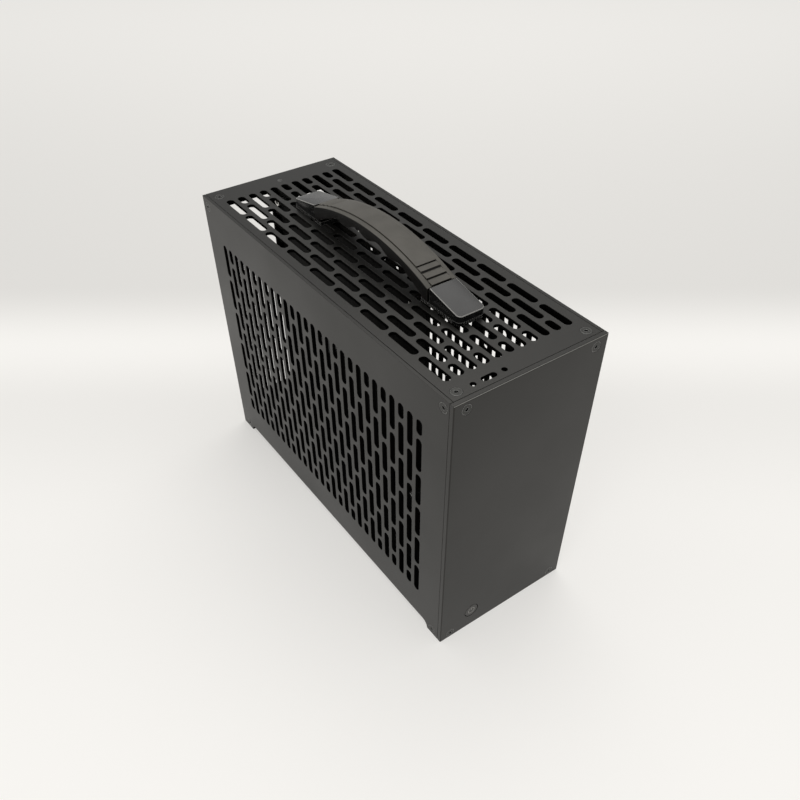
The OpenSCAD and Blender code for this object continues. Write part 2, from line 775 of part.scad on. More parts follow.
// Part of a solid of revolution about the arch's axis, from a section of radius and width
module arch_sweep() {
  sweep = 2 * asin((strap_half + 4) / arch_r);
  translate([0, 0, strap_rise - arch_r]) rotate([0, 90, 0]) rotate([0, 0, 180 - sweep / 2])
    rotate_extrude(angle = sweep, $fn = 180) children();
}

// Prism along X from a side outline in Y and Z
module across(w) translate([-w / 2, 0, 0]) rotate([90, 0, 90]) linear_extrude(w) children();

module strap_side() {
  leg = [[strap_half - 6.5, tongue_low + 2.2], [strap_half - 4, tongue_low], [strap_half, tongue_low]];
  waves = 56;
  wave_points = [for (i = [-waves / 2:waves / 2]) let (u = i * 2 * grip_half / waves) [u, grip_z(u)]];
  polygon(concat(
    [for (i = [2:-1:0]) [-leg[i][0], leg[i][1]]],
    wave_points,
    leg,
    [[strap_half, strap_rise + 2], [-strap_half, strap_rise + 2]]
  ));
}

// Treads of one end, each rising from the arch to a step, and the last one cut off by the strap's end
module strap_steps(end) rotate([0, 0, end < 0 ? 180 : 0]) across(pad_w - 2 * pad_ledge) {
  first = step_start - 1;
  last = strap_half + 1;
  steps = [for (i = [1:step_count - 1]) step_start + i * step_l];
  polygon(concat(
    [[first, arch_z(first) - 2], [first, arch_z(first) - 0.3]],
    [for (u = steps) each [[u, arch_z(u) + step_h], [u, arch_z(u) - 0.1]]],
    [[last, arch_z(last) + step_h], [last, arch_z(last) - 2]]
  ));
}

// Plan of a tongue, with a long hole for the post that holds it
module tongue_plan() difference() {
  inner_w = tongue_half_w - cap_corner;
  hole_start = strap_half + 4;
  union() {
    translate([-tongue_half_w, strap_half - 3])
      square([2 * tongue_half_w, tongue_end - strap_half + 3 - cap_corner]);
    translate([-inner_w, strap_half]) square([2 * inner_w, tongue_end - strap_half]);
    for (s = [-1, 1]) translate([s * inner_w, tongue_end - cap_corner]) circle(r = cap_corner);
  }
  translate([-tongue_slot_r, hole_start]) square([2 * tongue_slot_r, post_y - hole_start]);
  for (y = [hole_start, post_y]) translate([0, y]) circle(r = tongue_slot_r);
}

module tongue(end) rotate([0, 0, end < 0 ? 180 : 0]) translate([0, 0, tongue_low])
  linear_extrude(tongue_t) tongue_plan();

// Arch with sloping shoulders, before its underside is shaped
module strap_arch() {
  edge = strap_w / 2 + 1;
  flat = pad_w / 2 + pad_ledge;
  edge_drop = shoulder_drop * (edge - flat) / (strap_w / 2 - flat);
  arch_sweep() polygon([
    [arch_r - 40, -edge], [arch_r - edge_drop, -edge], [arch_r, -flat],
    [arch_r, flat], [arch_r - edge_drop, edge], [arch_r - 40, edge]
  ]);
  intersection() {
    arch_sweep() translate([arch_r - 1, -pad_w / 2]) square([1 + pad_h, pad_w]);
    translate([-pad_w, -step_start, 0]) cube([2 * pad_w, 2 * step_start, 2 * strap_rise]);
  }
  for (e = [-1, 1]) strap_steps(e);
}

module handle_strap() color(strap_color) on_lid() {
  intersection() {
    across(strap_w) strap_side();
    strap_arch();
  }
  for (e = [-1, 1]) tongue(e);
}

// Plan outline of an end cap or its base, grown by m, from y = a
module cap_plan(a, m) {
  w = cap_w / 2 + m;
  r = cap_corner + m;
  translate([-w, a]) square([2 * w, cap_end + m - r - a]);
  translate([r - w, a]) square([2 * (w - r), cap_end + m - a]);
  for (s = [-1, 1]) translate([s * (w - r), cap_end + m - r]) circle(r = r);
}

// Ribs round the rim of a base plate
module rim_ribs() {
  side_y = cap_end - cap_corner;
  count = floor((side_y - base_start) / (2 * rib_w));
  w = cap_w / 2 + base_margin;
  end_count = floor((w - cap_corner) / (2 * rib_w));
  for (i = [0:count - 1], s = [-1, 1])
    translate([s * w - rib_w / 2, base_start + (2 * i + 0.5) * rib_w, 0]) cube([rib_w, rib_w, base_t]);
  for (i = [-end_count:end_count])
    translate([(2 * i - 0.5) * rib_w, cap_end + base_margin - rib_w / 2, 0]) cube([rib_w, rib_w, base_t]);
}

module handle_base(end) color(cap_color) at_end(end) difference() {
  union() {
    linear_extrude(base_t) cap_plan(base_start, base_margin);
    rim_ribs();
    translate([0, post_y, 0]) cylinder(h = post_top, r = post_r);
  }
  translate([0, post_y, post_top]) sunk_hole(post_top);
}

module handle_cover(end) color(cap_color) at_end(end) {
  slope = (cap_h_in - cap_h_out) / (cap_end - cap_start);
  difference() {
    intersection() {
      translate([0, 0, base_t]) linear_extrude(cap_h_in) cap_plan(cap_start, 0);
      across(2 * cap_w) polygon([[cap_start, 0], [cap_end, 0], [cap_end, cap_h_out], [cap_start, cap_h_in]]);
    }
    across(cap_w - 2 * cap_t) polygon([
      [cap_start - 1, 0], [cap_end - cap_t, 0], [cap_end - cap_t, cap_h_out - cap_t + slope * cap_t],
      [cap_start - 1, cap_h_in - cap_t + slope]
    ]);
  }
}

module handle_screws() color(screw_color) for (e = [-1, 1]) at_end(e)
  translate([0, post_y, post_top]) sunk_screw(handle_screw_len);

module handle_washers() color(steel_color) for (e = [-1, 1]) at_end(e)
  translate([0, post_y, -panel_t - washer_t]) difference() {
    cylinder(h = washer_t, d = washer_d);
    translate([0, 0, -1]) cylinder(h = washer_t + 2, r = screw_d / 2 + hole_clear);
  }

module handle_nuts() color(steel_color) for (e = [-1, 1]) at_end(e)
  translate([0, post_y, -panel_t - washer_t - nut_h]) difference() {
    cylinder(h = nut_h, d = nut_af / cos(30), $fn = 6);
    translate([0, 0, -1]) cylinder(h = nut_h + 2, r = screw_d / 2 + screw_clear);
  }

front_panel();
rear_panel();
top_panel();
bottom_panel();
side_panel(-1);  // left_side_panel
side_panel(1);  // right_side_panel
top_block(-1, -1);  // front_left_top_block
top_block(1, -1);  // front_right_top_block
top_block(-1, 1);  // rear_left_top_block
top_block(1, 1);  // rear_right_top_block
foot_block(-1, -1);  // front_left_foot_block
foot_block(1, -1);  // front_right_foot_block
foot_block(-1, 1);  // rear_left_foot_block
foot_block(1, 1);  // rear_right_foot_block
motherboard_tray();
motherboard_standoffs();
riser_bracket();
psu_bracket();
slot_ledge();
power_inlet();
tray_screws();
riser_bracket_screws();
psu_bracket_screws();
slot_ledge_screws();
inlet_screws();
front_screws();
top_screws();
left_side_screws();
right_side_screws();
rear_screws();
bottom_screws();
rear_lip_screw();
power_button();
switch_plunger();
button_housing();
tact_switch();
switch_board();
switch_screws();
handle_strap();
handle_base(-1);  // handle_front_base
handle_base(1);  // handle_rear_base
handle_cover(-1);  // handle_front_cover
handle_cover(1);  // handle_rear_cover
handle_screws();
handle_washers();
handle_nuts();
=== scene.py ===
"""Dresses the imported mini-itx computer case with finishes, a shaped carrying handle and a plain studio."""

import logging
import math
from abc import ABC, abstractmethod
from dataclasses import dataclass
from enum import Enum
from typing import Callable, Iterable, Sequence

import bmesh
import bpy
from mathutils import Euler, Matrix, Vector


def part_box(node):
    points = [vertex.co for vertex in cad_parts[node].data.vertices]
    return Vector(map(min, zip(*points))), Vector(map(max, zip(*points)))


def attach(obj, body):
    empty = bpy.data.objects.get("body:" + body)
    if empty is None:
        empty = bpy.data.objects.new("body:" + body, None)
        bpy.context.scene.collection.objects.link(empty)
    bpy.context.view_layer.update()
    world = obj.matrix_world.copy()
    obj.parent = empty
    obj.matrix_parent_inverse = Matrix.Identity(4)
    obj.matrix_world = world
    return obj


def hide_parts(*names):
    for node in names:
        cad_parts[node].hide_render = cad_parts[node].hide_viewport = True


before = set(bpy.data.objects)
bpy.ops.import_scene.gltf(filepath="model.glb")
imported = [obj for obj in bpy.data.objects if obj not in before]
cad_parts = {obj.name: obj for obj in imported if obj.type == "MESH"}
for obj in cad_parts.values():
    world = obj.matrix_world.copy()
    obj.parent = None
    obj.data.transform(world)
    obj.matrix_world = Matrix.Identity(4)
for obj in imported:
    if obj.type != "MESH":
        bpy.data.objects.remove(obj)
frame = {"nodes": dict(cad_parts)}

log = logging.getLogger("computer_case")

MM = 0.001
CREASE_DEG = 32.0
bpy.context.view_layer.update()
FRONT_LOW, FRONT_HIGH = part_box("front_panel")
# The case's outer faces: half its width, half its depth, and its height.
OUTSIDE = (FRONT_HIGH.x, -FRONT_LOW.y, FRONT_HIGH.z)
Colour = tuple[float, float, float]
Place = tuple[float, float, float]
Marks = tuple[tuple[float, float], ...]


class Body(str, Enum):
    """The rigid bodies that the shaped pieces ride on."""

    CASE = "case"
    HANDLE = "handle"


class End(Enum):
    """The two ends of the carrying handle, as the sign of Y."""

    FRONT = -1
    REAR = 1


def scaled(colour: Colour, factor: float) -> Colour:
    """Makes a colour darker or lighter.

    Args:
        colour: The colour.
        factor: What each of its parts is multiplied by.

    Returns:
        The new colour.
    """
    return tuple(part * factor for part in colour)


def fill_ramp(ramp: bpy.types.ShaderNode, marks: Sequence[tuple[float, float]], tint: Colour) -> None:
    """Sets the marks of a colour ramp.

    Args:
        ramp: The ramp's node.
        marks: Each mark's position and tone.
        tint: The colour of a tone of 1.
    """
    elements = ramp.color_ramp.elements
    while len(elements) < len(marks):
        elements.new(0.5)
    for element, (position, tone) in zip(elements, marks):
        element.position = position
        element.color = (*scaled(tint, tone), 1.0)


class NodeSheet:
    """A material's shader nodes while they are put together."""

    def __init__(self, name: str) -> None:
        """Starts an empty material with one Principled shader.

        Args:
            name: The material's name.
        """
        self.material = bpy.data.materials.new(name)
        self.material.use_nodes = True
        self.tree = self.material.node_tree
        self.tree.nodes.clear()
        output = self.add("ShaderNodeOutputMaterial")
        self.shader = self.add("ShaderNodeBsdfPrincipled")
        self.tree.links.new(self.shader.outputs["BSDF"], output.inputs["Surface"])
        self.place = self.add("ShaderNodeTexCoord").outputs["Object"]

    def add(self, kind: str, **settings: object) -> bpy.types.Node:
        """Adds a node and sets its plain properties.

        Args:
            kind: The node's type name.
            **settings: Properties of the node, by name.

        Returns:
            The new node.
        """
        node = self.tree.nodes.new(kind)
        for key, value in settings.items():
            setattr(node, key, value)
        return node

    def feed(self, socket: bpy.types.NodeSocket, value: object) -> None:
        """Links an output to a socket, or sets the socket's own value.

        Args:
            socket: The input that takes the value.
            value: An output socket, a number or a colour.
        """
        if isinstance(value, bpy.types.NodeSocket):
            self.tree.links.new(value, socket)
        else:
            socket.default_value = value

    def noise(self, grain_mm: float, detail: float = 2.0) -> bpy.types.NodeSocket:
        """Makes a cloud pattern in the piece's own space.

        Args:
            grain_mm: Size of one grain.
            detail: Number of finer layers.

        Returns:
            The pattern's value, from 0 to 1.
        """
        noise = self.add("ShaderNodeTexNoise")
        self.feed(noise.inputs["Vector"], self.place)
        noise.inputs["Scale"].default_value = 1 / (grain_mm * MM)
        noise.inputs["Detail"].default_value = detail
        return noise.outputs["Fac"]

    def patches(self, patch_mm: float, detail: float, low: float, high: float) -> bpy.types.NodeSocket:
        """Makes a value that drifts softly from patch to patch.

        Args:
            patch_mm: Size of one patch.
            detail: Number of finer layers.
            low: The smallest value.
            high: The largest value.

        Returns:
            The drifting value.
        """
        return self.between(self.noise(patch_mm, detail), 0.3, 0.7, low, high)

    def axes(self, vector: bpy.types.NodeSocket) -> bpy.types.bpy_prop_collection:
        """Splits a vector.

        Args:
            vector: The vector.

        Returns:
            The outputs for its X, Y and Z.
        """
        split = self.add("ShaderNodeSeparateXYZ")
        self.feed(split.inputs["Vector"], vector)
        return split.outputs

    def maths(self, operation: str, *values: object) -> bpy.types.NodeSocket:
        """Makes a Math node.

        Args:
            operation: The node's operation.
            *values: Its inputs in order.

        Returns:
            The result.
        """
        node = self.add("ShaderNodeMath", operation=operation)
        for socket, value in zip(node.inputs, values):
            self.feed(socket, value)
        return node.outputs["Value"]

    def between(
        self, value: object, low: float, high: float, to_low: float, to_high: float
    ) -> bpy.types.NodeSocket:
        """Maps a value from one range to another, clamped.

        Args:
            value: What is mapped.
            low: Start of the range it comes from.
            high: End of the range it comes from.
            to_low: Start of the range it goes to.
            to_high: End of the range it goes to.

        Returns:
            The mapped value.
        """
        node = self.add("ShaderNodeMapRange")
        for socket, number in zip(node.inputs, (value, low, high, to_low, to_high)):
            self.feed(socket, number)
        return node.outputs["Result"]

    def blend(self, share: object, first: object, second: object) -> bpy.types.NodeSocket:
        """Mixes two colours.

        Args:
            share: How much of the second colour shows.
            first: The first colour.
            second: The second colour.

        Returns:
            The mixed colour.
        """
        node = self.add("ShaderNodeMix", data_type="RGBA")
        self.feed(node.inputs["Factor"], share)
        for socket, colour in ((node.inputs[6], first), (node.inputs[7], second)):
            self.feed(socket, (*colour, 1.0) if isinstance(colour, tuple) else colour)
        return node.outputs[2]

    def paint(self, share: object, colour: object) -> None:
        """Lays a colour over the base colour that the shader has so far.

        Args:
            share: How much of the new colour shows.
            colour: The new colour.
        """
        base = self.shader.inputs["Base Color"]
        self.feed(base, self.blend(share, base.links[0].from_socket, colour))

    def edges(self, radius_mm: float) -> tuple[bpy.types.NodeSocket, bpy.types.NodeSocket]:
        """Finds the piece's sharp edges.

        Args:
            radius_mm: How far from an edge the surface counts as part of it.

        Returns:
            A mask that is 1 on the edges, and the rounded normal.
        """
        bevel = self.add("ShaderNodeBevel", samples=4)
        bevel.inputs["Radius"].default_value = radius_mm * MM
        geometry = self.add("ShaderNodeNewGeometry")
        dot = self.add("ShaderNodeVectorMath", operation="DOT_PRODUCT")
        self.feed(dot.inputs[0], bevel.outputs["Normal"])
        self.feed(dot.inputs[1], geometry.outputs["Normal"])
        flat, turned = 0.99, 0.9
        return self.between(dot.outputs["Value"], flat, turned, 0.0, 1.0), bevel.outputs["Normal"]

    def inside(self, skin_mm: float) -> bpy.types.NodeSocket:
        """Finds the places that lie within the case's outer faces, such as the walls of the slots.

        Args:
            skin_mm: How far under the outer faces the inside starts.

        Returns:
            A mask that is 1 inside.
        """
        size = self.add("ShaderNodeVectorMath", operation="ABSOLUTE")
        self.feed(size.inputs[0], self.place)
        pairs = zip(self.axes(size.outputs["Vector"]), OUTSIDE)
        across, along, up = (self.maths("LESS_THAN", value, limit - skin_mm * MM) for value, limit in pairs)
        return self.maths("MULTIPLY", self.maths("MULTIPLY", across, along), up)

    def bump(self, height: object, depth_mm: float, normal: object = None, strength: float = 0.5) -> None:
        """Gives the shader a relief.

        Args:
            height: The relief's height, from 0 to 1.
            depth_mm: Depth of the relief.
            normal: The normal that it starts from.
            strength: How strongly it shows.
        """
        node = self.add("ShaderNodeBump")
        node.inputs["Strength"].default_value = strength
        node.inputs["Distance"].default_value = depth_mm * MM
        self.feed(node.inputs["Height"], height)
        if normal is not None:
            self.feed(node.inputs["Normal"], normal)
        self.feed(self.shader.inputs["Normal"], node.outputs["Normal"])


@dataclass(frozen=True)
class Finish(ABC):
    """A surface finish, made once as a material."""

    name: str
    colour: Colour
    roughness: float

    @abstractmethod
    def dress(self, sheet: NodeSheet) -> None:
        """Adds the finish's nodes.

        Args:
            sheet: The material's nodes.
        """

    def material(self) -> bpy.types.Material:
        """Returns the finish's material, made at its first use."""
        found = bpy.data.materials.get(self.name)
        if found is None:
            sheet = NodeSheet(self.name)
            self.dress(sheet)
            found = sheet.material
        return found

    def varied(self, sheet: NodeSheet, patch_mm: float, swing: float) -> None:
        """Lets the roughness drift from place to place.

        Args:
            sheet: The material's nodes.
            patch_mm: Size of one patch.
            swing: Largest change of the roughness.
        """
        drift = sheet.patches(patch_mm, 3.0, self.roughness - swing, self.roughness + swing)
        sheet.feed(sheet.shader.inputs["Roughness"], drift)


@dataclass(frozen=True)
class Coating(Finish):
    """A fine matt coating on aluminium or steel, with painted highlights on its edges and painted shade
    inside the case.
    """

    cloud_mm: float = 35.0
    drift: float = 0.14
    speck_gain: float = 1.9
    speck_share: float = 0.35
    grain_mm: float = 0.22
    relief_mm: float = 0.012
    edge_mm: float = 0.25
    edge_highlight_colour: Colour = (0.13, 0.127, 0.118)
    highlight_share: float = 0.5
    skin_mm: float = 0.3
    inside_shade_colour: Colour = (0.005, 0.005, 0.005)
    inner_roughness: float = 0.9
    specular: float = 0.5
    sheen_tint: Colour = (1.0, 0.98, 0.93)

    def dress(self, sheet: NodeSheet) -> None:
        """Adds mottled colour, fine grain, painted highlights on the edges, and painted shade inside the
        case: a black, duller coat there.

        Args:
            sheet: The material's nodes.
        """
        shader = sheet.shader.inputs
        grain = sheet.noise(self.grain_mm, 3.0)
        cloud = sheet.patches(self.cloud_mm, 4.0, 0.0, 1.0)
        dark, light = scaled(self.colour, 1 - self.drift), scaled(self.colour, 1 + self.drift)
        sheet.feed(shader["Base Color"], sheet.blend(cloud, dark, light))
        speck = sheet.between(grain, 0.56, 0.74, 0.0, self.speck_share)
        sheet.paint(speck, scaled(self.colour, self.speck_gain))
        # Painted highlight: a lighter colour on the sharp edges, broken up by the grain.
        mask, normal = sheet.edges(self.edge_mm)
        least = self.highlight_share * 0.6
        glint = sheet.between(grain, 0.25, 0.6, least, self.highlight_share)
        sheet.paint(sheet.maths("MULTIPLY", mask, glint), self.edge_highlight_colour)
        shader["Specular IOR Level"].default_value = self.specular
        shader["Specular Tint"].default_value = (*self.sheen_tint, 1.0)
        self.varied(sheet, 60.0, 0.04)
        # Painted shade inside the case: black, metallic and dull, so that the slot walls and inner faces
        # give back almost no light.
        if self.skin_mm > 0:
            inside = sheet.inside(self.skin_mm)
            sheet.paint(inside, self.inside_shade_colour)
            sheet.feed(shader["Metallic"], inside)
            dull = sheet.maths("MULTIPLY", inside, self.inner_roughness)
            rough = shader["Roughness"].links[0].from_socket
            sheet.feed(shader["Roughness"], sheet.maths("MAXIMUM", rough, dull))
        sheet.bump(grain, self.relief_mm, normal)


@dataclass(frozen=True)
class MarkedCoating(Coating):
    """The coating of the power button, with a plain power sign in its middle."""

    centre: tuple[float, float] = (0.0, 0.0)
    ring_mm: float = 2.35
    line_mm: float = 0.42
    mark_colour: Colour = (0.34, 0.33, 0.31)

    def dress(self, sheet: NodeSheet) -> None:
        """Adds the coating, then an open ring and a bar over it.

        Args:
            sheet: The material's nodes.
        """
        super().dress(sheet)
        axes = sheet.axes(sheet.place)
        across = sheet.maths("SUBTRACT", axes["X"], self.centre[0])
        upward = sheet.maths("SUBTRACT", axes["Z"], self.centre[1])
        squares = [sheet.maths("MULTIPLY", value, value) for value in (across, upward)]
        distance = sheet.maths("SQRT", sheet.maths("ADD", *squares))
        radius, half = self.ring_mm * MM, self.line_mm * MM / 2
        side = sheet.maths("ABSOLUTE", across)
        above = sheet.maths("GREATER_THAN", upward, 0.0)
        gap = sheet.maths("MULTIPLY", sheet.maths("LESS_THAN", side, 3 * half), above)
        ring = sheet.maths("COMPARE", distance, radius, half)
        open_ring = sheet.maths("MULTIPLY", ring, sheet.maths("SUBTRACT", 1.0, gap))
        height = sheet.maths("COMPARE", upward, radius * 0.75, radius * 0.5)
        bar = sheet.maths("MULTIPLY", sheet.maths("LESS_THAN", side, half), height)
        sheet.paint(sheet.maths("MAXIMUM", open_ring, bar), self.mark_colour)


@dataclass(frozen=True)
class EdgeHighlightCoating(Coating):
    """The front plate's coating, with a painted highlight along the top front edge."""

    line_mm: float = 0.35
    highlight_colour: Colour = (0.27, 0.266, 0.25)

    def dress(self, sheet: NodeSheet) -> None:
        """Adds the coating, then a thin painted highlight on both sides of the edge.

        Args:
            sheet: The material's nodes.
        """
        super().dress(sheet)
        # Painted highlight: a light line where the front face meets the top.
        axes, line = sheet.axes(sheet.place), self.line_mm * MM
        front = sheet.maths("LESS_THAN", axes["Y"], line - OUTSIDE[1])
        top = sheet.maths("GREATER_THAN", axes["Z"], OUTSIDE[2] - line)
        sheet.paint(sheet.maths("MULTIPLY", front, top), self.highlight_colour)


@dataclass(frozen=True)
class Metal(Finish):
    """Bare or oxidised steel, stained, with painted highlights on its edges."""

    metallic: float = 1.0
    stain: float = 0.3
    stain_mm: float = 1.5
    edge_mm: float = 0.15
    highlight_share: float = 0.8
    edge_gain: float = 2.5
    edge_lift: float = 0.3
    grain_mm: float = 0.12
    relief_mm: float = 0.006

    def dress(self, sheet: NodeSheet) -> None:
        """Adds stains, painted highlights on the edges and fine grain.

        Args:
            sheet: The material's nodes.
        """
        stain = sheet.between(sheet.noise(self.stain_mm, 4.0), 0.35, 0.7, 0.0, 1.0)
        stained = sheet.blend(stain, self.colour, scaled(self.colour, 1 - self.stain))
        sheet.feed(sheet.shader.inputs["Base Color"], stained)
        # Painted highlight: a lighter colour on the sharp edges, such as the rims and sockets of the screw
        # heads.
        mask, normal = sheet.edges(self.edge_mm)
        bright = tuple(min(1.0, part * self.edge_gain + self.edge_lift) for part in self.colour)
        sheet.paint(sheet.maths("MULTIPLY", mask, self.highlight_share), bright)
        sheet.shader.inputs["Metallic"].default_value = self.metallic
        self.varied(sheet, 2.0, 0.08)
        sheet.bump(sheet.noise(self.grain_mm), self.relief_mm, normal)


@dataclass(frozen=True)
class Plastic(Finish):
    """Moulded plastic or rubber, with dust, painted shade in its crevices and painted highlights on its
    edges.

    A highlight layer is the name of a face attribute, which is 1 on faces that get the painted edge
    highlight in full.
    """

    grain_mm: float = 0.3
    relief_mm: float = 0.01
    edge_mm: float = 0.3
    drift: float = 0.12
    dust: float = 0.15
    dust_colour: Colour = (0.2, 0.19, 0.17)
    crevice_shade: float = 0.6
    crevice_mm: float = 0.8
    crevice_shade_colour: Colour = (0.003, 0.003, 0.003)
    edge_highlight_colour: Colour = (0.16, 0.15, 0.135)
    highlight_share: float = 0.5
    specular: float = 0.5
    highlight_layer: str = ""

    def body(self, sheet: NodeSheet) -> bpy.types.NodeSocket:
        """Gives the plastic's own colour, a little lighter or darker from place to place.

        Args:
            sheet: The material's nodes.

        Returns:
            The colour.
        """
        dark, light = scaled(self.colour, 1 - self.drift), scaled(self.colour, 1 + self.drift)
        return sheet.blend(sheet.patches(12.0, 4.0, 0.0, 1.0), dark, light)

    def dress(self, sheet: NodeSheet) -> None:
        """Adds drifting colour, a little dust, painted shade in the crevices and painted highlights on the
        edges.

        Args:
            sheet: The material's nodes.
        """
        shader = sheet.shader.inputs
        sheet.feed(shader["Base Color"], self.body(sheet))
        dust = sheet.between(sheet.noise(0.5, 5.0), 0.66, 0.78, 0.0, self.dust)
        sheet.paint(dust, self.dust_colour)
        # Painted shade: the colour darkens where the surface is hemmed in nearby.
        nearby = sheet.add("ShaderNodeAmbientOcclusion", samples=8)
        nearby.inputs["Distance"].default_value = self.crevice_mm * MM
        openness = nearby.outputs["AO"]
        sheet.paint(sheet.between(openness, 0.35, 0.85, self.crevice_shade, 0.0), self.crevice_shade_colour)
        # Painted highlight: a lighter colour on open sharp edges, and in full on the faces of the highlight
        # layer.
        mask, normal = sheet.edges(self.edge_mm)
        lit_edges = sheet.maths("MULTIPLY", mask, sheet.between(openness, 0.75, 0.95, 0.0, self.highlight_share))
        if self.highlight_layer:
            layer = sheet.add("ShaderNodeAttribute", attribute_name=self.highlight_layer)
            lit_edges = sheet.maths("MAXIMUM", lit_edges, layer.outputs["Fac"])
        sheet.paint(lit_edges, self.edge_highlight_colour)
        shader["Specular IOR Level"].default_value = self.specular
        self.varied(sheet, 15.0, 0.03)
        sheet.bump(sheet.noise(self.grain_mm), self.relief_mm, normal)


@dataclass(frozen=True)
class StrapRubber(Plastic):
    """The strap's rubber, with painted shade on its sides and on the risers of its treads."""

    side_mm: float = 9.7
    side_shade_colour: Colour = (0.006, 0.0055, 0.005)

    def body(self, sheet: NodeSheet) -> bpy.types.NodeSocket:
        """Gives the rubber's colour, with painted shade on its sides and on the risers of its treads.

        Args:
            sheet: The material's nodes.

        Returns:
            The colour.
        """
        across = sheet.maths("ABSOLUTE", sheet.axes(sheet.place)["X"])
        # Painted shade on the side faces and, by the facing of the normal, on the risers.
        side = sheet.between(across, (self.side_mm - 0.1) * MM, self.side_mm * MM, 0.0, 1.0)
        facing = sheet.axes(sheet.add("ShaderNodeNewGeometry").outputs["Normal"])
        riser = sheet.between(sheet.maths("ABSOLUTE", facing["Y"]), 0.75, 0.85, 0.0, 1.0)
        return sheet.blend(sheet.maths("MAXIMUM", side, riser), super().body(sheet), self.side_shade_colour)


@dataclass(frozen=True)
class SolderMask(Finish):
    """A circuit board's green coat over copper tracks."""

    track_mm: float = 1.2
    track_gain: float = 1.8
    relief_mm: float = 0.02

    def dress(self, sheet: NodeSheet) -> None:
        """Adds lighter tracks in the coat.

        Args:
            sheet: The material's nodes.
        """
        cells = sheet.add("ShaderNodeTexVoronoi", feature="DISTANCE_TO_EDGE")
        sheet.feed(cells.inputs["Vector"], sheet.place)
        cells.inputs["Scale"].default_value = 1 / (self.track_mm * MM)
        track = sheet.between(cells.outputs["Distance"], 0.05, 0.12, 1.0, 0.0)
        light = scaled(self.colour, self.track_gain)
        sheet.feed(sheet.shader.inputs["Base Color"], sheet.blend(track, self.colour, light))
        self.varied(sheet, 4.0, 0.05)
        sheet.bump(track, self.relief_mm, strength=0.4)


PANEL = Coating("coated_panel", (0.008, 0.0079, 0.0073), 0.36, highlight_share=0.15, specular=0.34)
FRONT = EdgeHighlightCoating("coated_front_plate", (0.007, 0.0069, 0.0063), 0.36, highlight_share=0.15, specular=0.34)
INNER = Coating(
    "black_powder_coat", (0.0025, 0.0025, 0.0024), 0.6, grain_mm=0.4, edge_highlight_colour=(0.05, 0.05, 0.048),
    skin_mm=0.0, specular=0.04,
)
BLOCK = Coating(
    "black_machined_block", (0.014, 0.014, 0.0135), 0.42, edge_highlight_colour=(0.07, 0.07, 0.068), skin_mm=0.0,
)
SCREW = Metal("black_oxide_steel", (0.035, 0.035, 0.032), 0.35, metallic=0.6, edge_mm=0.45)
PLATED = Metal("plated_steel", (0.62, 0.61, 0.58), 0.3)
STRAP = StrapRubber(
    "strap_rubber", (0.085, 0.08, 0.07), 0.5, grain_mm=0.25, edge_highlight_colour=(0.15, 0.142, 0.125), specular=0.2,
)
CAP = Plastic(
    "cap_plastic", (0.006, 0.006, 0.006), 0.24, relief_mm=0.003, edge_mm=0.4, dust=0.01,
    edge_highlight_colour=(0.3, 0.295, 0.28), highlight_share=0.8, specular=0.38, highlight_layer="rim",
)
SWITCH = Plastic("switch_plastic", (0.02, 0.02, 0.02), 0.45)
BOARD = SolderMask("solder_mask", (0.01, 0.06, 0.025), 0.35)


def surface(mesh: bmesh.types.BMesh, name: str, finish: Finish) -> bpy.types.Object:
    """Turns a finished bmesh into a shaded piece at the origin.

    Args:
        mesh: The piece's shape in the shared frame, freed afterwards.
        name: The piece's name.
        finish: What it is made of.

    Returns:
        The new object.
    """
    bmesh.ops.remove_doubles(mesh, verts=mesh.verts, dist=1e-7)
    bmesh.ops.recalc_face_normals(mesh, faces=mesh.faces)
    for face in mesh.faces:
        face.smooth = True
    for edge in mesh.edges:
        edge.smooth = len(edge.link_faces) == 2 and edge.calc_face_angle(0.0) < math.radians(CREASE_DEG)
    data = bpy.data.meshes.new(name)
    mesh.to_mesh(data)
    mesh.free()
    piece = bpy.data.objects.new(name, data)
    bpy.context.scene.collection.objects.link(piece)
    data.materials.append(finish.material())
    return piece


def cut_across(mesh: bmesh.types.BMesh, axis: Vector, places: Iterable[float]) -> None:
    """Cuts the whole mesh by parallel planes.

    Args:
        mesh: The mesh.
        axis: The planes' normal.
        places: Distances of the planes along it.
    """
    for place in places:
        geometry = [*mesh.verts, *mesh.edges, *mesh.faces]
        bmesh.ops.bisect_plane(mesh, geom=geometry, dist=1e-8, plane_co=axis * place, plane_no=axis)


def soften(
    mesh: bmesh.types.BMesh, edges: list[bmesh.types.BMEdge], radius: float, segments: int
) -> list[bmesh.types.BMFace]:
    """Rounds some edges.

    Args:
        mesh: The mesh.
        edges: The edges.
        radius: Radius in metres.
        segments: Faces round the curve.

    Returns:
        The faces of the curve.
    """
    return bmesh.ops.bevel(
        mesh, geom=edges, offset=radius, offset_type="OFFSET", segments=segments, profile=0.5,
        affect="EDGES", clamp_overlap=True, material=-1,
    )["faces"]


